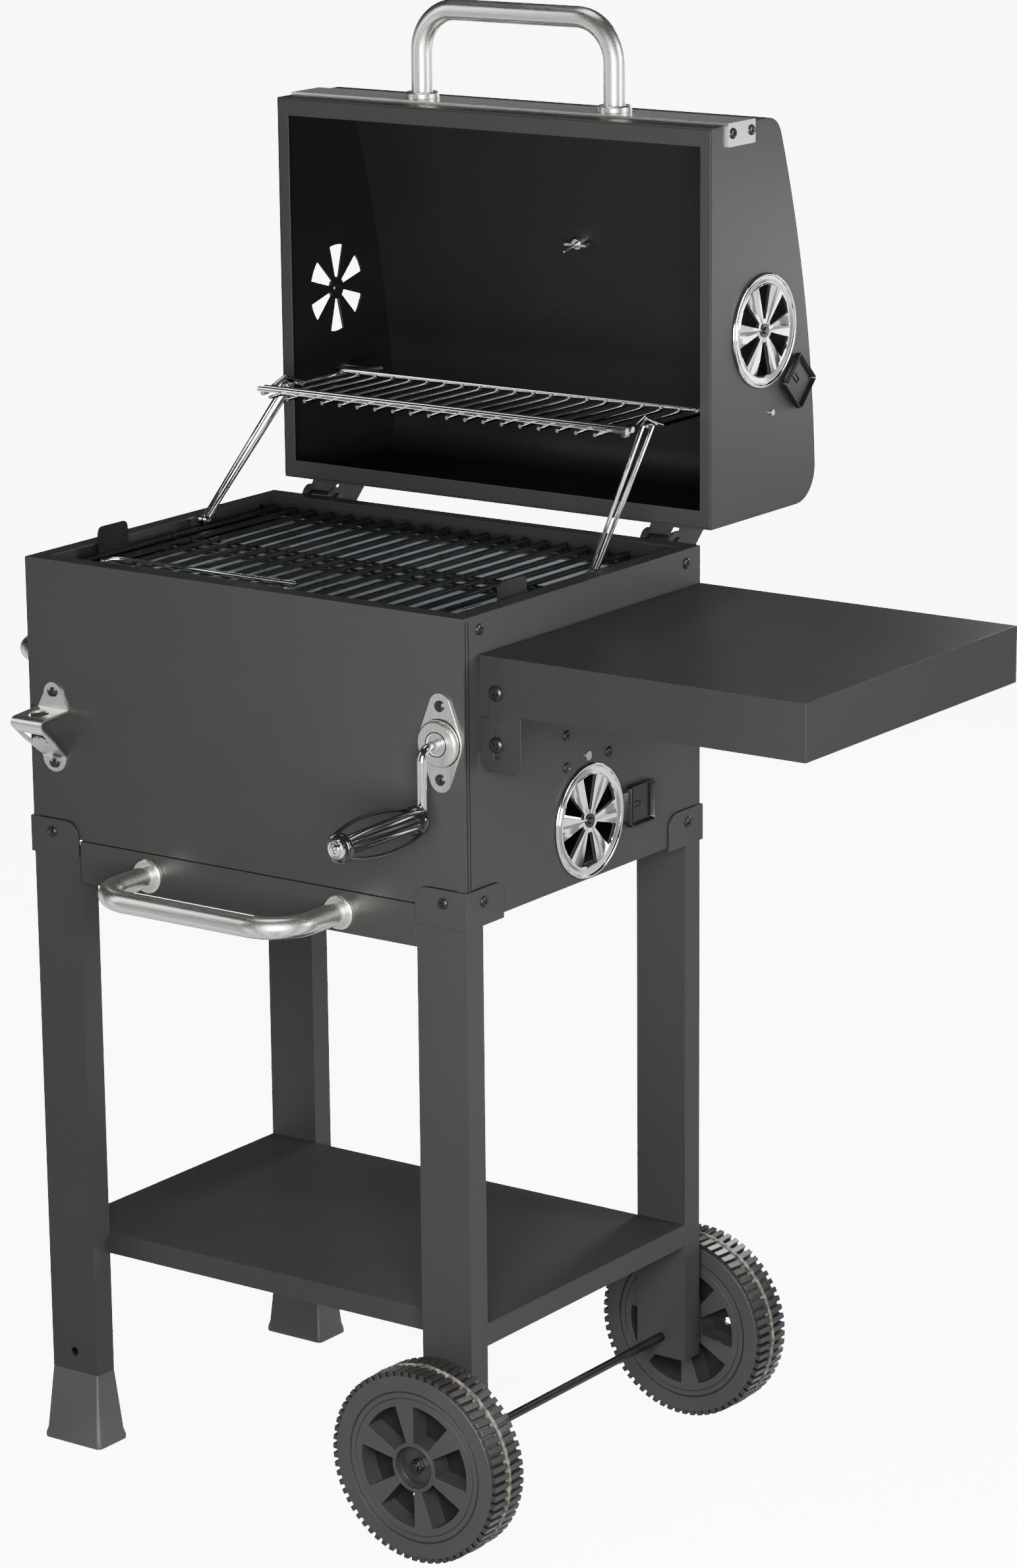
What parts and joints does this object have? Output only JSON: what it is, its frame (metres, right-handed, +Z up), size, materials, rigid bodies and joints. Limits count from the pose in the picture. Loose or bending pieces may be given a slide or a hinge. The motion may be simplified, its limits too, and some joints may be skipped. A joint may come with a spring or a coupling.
{
  "type": "charcoal trolley grill",
  "caption": "Cart barbecue with a hinged lid standing open, crank-lifted charcoal pan, warming rack, side table, shelf, ash drawer and transport wheels.",
  "frame": {"origin": "middle of the outline, on the ground, with the lid standing open and the crank hanging down", "axes": "+Z up, +X from the side handle towards the side table and wheels, front of the grill towards -Y"},
  "size_m": [0.859, 0.681, 1.2433],
  "materials": {
    "powder_coat": "satin textured powder coat",
    "lid_coat": "satin heat-resistant coat",
    "black_steel": "semi-gloss black",
    "stainless": "brushed",
    "inner_steel": "plain zinc-plated sheet",
    "chrome_plate": "bright",
    "wire_chrome": "bright wire",
    "enamel": "pale blue-grey enamel",
    "grate_black": "matt black coated rod",
    "wheel_plastic": "matt moulded",
    "foot_plastic": "matt moulded",
    "grip_plastic": "gloss moulded",
    "collar_plastic": "matt moulded"
  },
  "bodies": {
    "cart": {"firebox_front": "powder_coat", "firebox_back": "powder_coat", "firebox_left": "powder_coat", "firebox_right": "powder_coat", "firebox_floor": "powder_coat", "corner_brackets": "powder_coat", "legs_left": "powder_coat", "legs_right": "powder_coat", "feet": "foot_plastic", "bottom_shelf": "powder_coat", "wheel_axle": "black_steel", "axle_nuts": "chrome_plate", "side_table": "powder_coat", "table_brackets": "powder_coat", "table_bolts": "black_steel", "side_handle": "stainless", "side_handle_collars": "collar_plastic", "bottle_opener": "stainless", "crank_plate": "black_steel", "lift_bracket": "inner_steel", "lift_guide": "inner_steel", "grate_rests": "black_steel", "grate_front": "grate_black", "grate_rear": "grate_black", "hinge_ears": "powder_coat", "hinge_barrels": "black_steel", "hinge_bolts": "black_steel", "cart_screws": "black_steel"},
    "front_wheel": {"wheel_front": "wheel_plastic"},
    "rear_wheel": {"wheel_rear": "wheel_plastic"},
    "crank": {"crank_rod": "chrome_plate", "crank_pinion": "inner_steel"},
    "crank_grip": {"grip_core": "grip_plastic", "grip_cage": "grip_plastic"},
    "pan_lift": {"lift_cradle": "inner_steel", "charcoal_pan": "enamel"},
    "ash_drawer": {"ash_tray": "inner_steel", "drawer_front": "powder_coat", "drawer_handle": "stainless", "drawer_handle_collars": "collar_plastic"},
    "bail": {"grate_bail": "wire_chrome"},
    "firebox_damper": {"firebox_vent": "chrome_plate", "firebox_vent_grip": "grip_plastic"},
    "lid": {"lid_shell": "lid_coat", "lid_sides": "lid_coat", "lid_rim": "lid_coat", "lid_trim": "stainless", "lid_hinge_brackets": "powder_coat", "lid_handle": "stainless", "lid_handle_collars": "collar_plastic", "thermometer": "stainless", "lid_screws": "black_steel"},
    "lid_left_damper": {"lid_vent_left": "chrome_plate", "lid_vent_left_grip": "grip_plastic"},
    "lid_right_damper": {"lid_vent_right": "chrome_plate", "lid_vent_right_grip": "grip_plastic"},
    "rack": {"warming_rack": "wire_chrome"},
    "left_rack_leg": {"rack_leg_left": "wire_chrome"},
    "right_rack_leg": {"rack_leg_right": "wire_chrome"}
  },
  "joints": [
    {"name": "lid_hinge", "type": "hinge", "parent": "cart", "child": "lid", "pos_m": [-0.1115, 0.1639, 0.7979], "axis": [1, 0, 0], "range_deg": [0, 90]},
    {"name": "rack_pivot", "type": "hinge", "parent": "lid", "child": "rack", "pos_m": [-0.1115, 0.264, 0.8992], "axis": [1, 0, 0], "range_deg": [-90, 0]},
    {"name": "left_rack_leg_pivot", "type": "hinge", "parent": "cart", "child": "left_rack_leg", "pos_m": [-0.3215, 0.0235, 0.7985], "axis": [1, 0, 0], "range_deg": [0, 90]},
    {"name": "right_rack_leg_pivot", "type": "hinge", "parent": "cart", "child": "right_rack_leg", "pos_m": [0.0985, 0.0235, 0.7985], "axis": [1, 0, 0], "range_deg": [0, 90]},
    {"name": "pan_height", "type": "slide", "parent": "cart", "child": "pan_lift", "axis": [0, 0, 1], "range_m": [-0.06, 0]},
    {"name": "crank_turn", "type": "hinge", "parent": "cart", "child": "crank", "pos_m": [0.0955, -0.1935, 0.6975], "axis": [0, 1, 0], "range_deg": [0, 327.5]},
    {"name": "crank_grip_spin", "type": "hinge", "parent": "crank", "child": "crank_grip", "pos_m": [0.0955, -0.2735, 0.6405], "axis": [0, 1, 0], "continuous": true},
    {"name": "drawer_slide", "type": "slide", "parent": "cart", "child": "ash_drawer", "axis": [0, -1, 0], "range_m": [0, 0.28]},
    {"name": "bail_hinge", "type": "hinge", "parent": "cart", "child": "bail", "pos_m": [-0.1815, -0.1695, 0.799], "axis": [1, 0, 0], "range_deg": [0, 100]},
    {"name": "firebox_damper_turn", "type": "hinge", "parent": "cart", "child": "firebox_damper", "pos_m": [0.1185, -0.0175, 0.597], "axis": [1, 0, 0], "range_deg": [0, 30]},
    {"name": "lid_left_damper_turn", "type": "hinge", "parent": "lid", "child": "lid_left_damper", "pos_m": [-0.3415, 0.2505, 0.9723], "axis": [1, 0, 0], "range_deg": [0, 30]},
    {"name": "lid_right_damper_turn", "type": "hinge", "parent": "lid", "child": "lid_right_damper", "pos_m": [0.1185, 0.2505, 0.9723], "axis": [1, 0, 0], "range_deg": [0, 30]},
    {"name": "front_wheel_roll", "type": "hinge", "parent": "cart", "child": "front_wheel", "pos_m": [0.09325, -0.223, 0.085], "axis": [0, 1, 0], "continuous": true},
    {"name": "rear_wheel_roll", "type": "hinge", "parent": "cart", "child": "rear_wheel", "pos_m": [0.09325, 0.182, 0.085], "axis": [0, 1, 0], "continuous": true}
  ],
  "couplings": [
    {"joint": "rack_pivot", "follows": "lid_hinge", "ratio": -1},
    {"joint": "left_rack_leg_pivot", "follows": "lid_hinge", "ratio": 1},
    {"joint": "right_rack_leg_pivot", "follows": "lid_hinge", "ratio": 1},
    {"joint": "crank_turn", "follows": "pan_height", "rad_per_m": -95.238}
  ]
}
